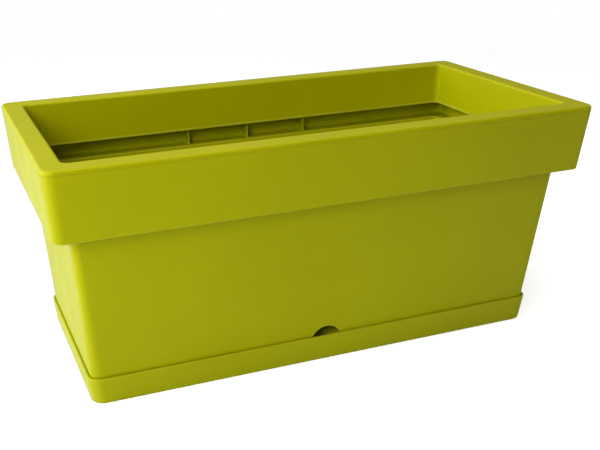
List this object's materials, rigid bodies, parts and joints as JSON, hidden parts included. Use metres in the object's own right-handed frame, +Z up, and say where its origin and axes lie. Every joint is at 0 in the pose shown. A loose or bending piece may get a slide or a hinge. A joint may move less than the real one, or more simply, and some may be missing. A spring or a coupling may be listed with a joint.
{
  "type": "self watering planter",
  "caption": "Rectangular trough planter with a wide rim band, standing in a shallow water tray that feeds the soil through slotted wick cups.",
  "frame": {"origin": "on the ground under the middle of the planter", "axes": "+X along the length, +Y to the back, away from the filling notch, +Z up"},
  "size_m": [0.7992, 0.3868, 0.3558],
  "materials": {
    "lime_tray": "satin lime green moulded polypropylene with a fine texture",
    "lime_tub": "satin lime green moulded polypropylene with a fine texture",
    "lime_rim": "satin lime green moulded polypropylene with a fine texture",
    "cup_plastic": "satin dark grey moulded polypropylene"
  },
  "bodies": {
    "tray": {"water_tray": "lime_tray"},
    "tub": {"planter_tub": "lime_tub"},
    "rim": {"rim_frame": "lime_rim"},
    "cup_front_left": {"wick_cup_front_left": "cup_plastic"},
    "cup_front_centre": {"wick_cup_front_centre": "cup_plastic"},
    "cup_front_right": {"wick_cup_front_right": "cup_plastic"},
    "cup_rear_left": {"wick_cup_rear_left": "cup_plastic"},
    "cup_rear_centre": {"wick_cup_rear_centre": "cup_plastic"},
    "cup_rear_right": {"wick_cup_rear_right": "cup_plastic"}
  },
  "joints": [
    {"name": "tub_lift", "type": "slide", "parent": "tray", "child": "tub", "axis": [0, 0, 1], "range_m": [0, 0.06]},
    {"name": "rim_lift", "type": "slide", "parent": "tub", "child": "rim", "axis": [0, 0, 1], "range_m": [0, 0.08]},
    {"name": "wick_cup_front_left_lift", "type": "slide", "parent": "tub", "child": "cup_front_left", "axis": [0, 0, 1], "range_m": [0, 0.05]},
    {"name": "wick_cup_front_centre_lift", "type": "slide", "parent": "tub", "child": "cup_front_centre", "axis": [0, 0, 1], "range_m": [0, 0.05]},
    {"name": "wick_cup_front_right_lift", "type": "slide", "parent": "tub", "child": "cup_front_right", "axis": [0, 0, 1], "range_m": [0, 0.05]},
    {"name": "wick_cup_rear_left_lift", "type": "slide", "parent": "tub", "child": "cup_rear_left", "axis": [0, 0, 1], "range_m": [0, 0.05]},
    {"name": "wick_cup_rear_centre_lift", "type": "slide", "parent": "tub", "child": "cup_rear_centre", "axis": [0, 0, 1], "range_m": [0, 0.05]},
    {"name": "wick_cup_rear_right_lift", "type": "slide", "parent": "tub", "child": "cup_rear_right", "axis": [0, 0, 1], "range_m": [0, 0.05]}
  ]
}
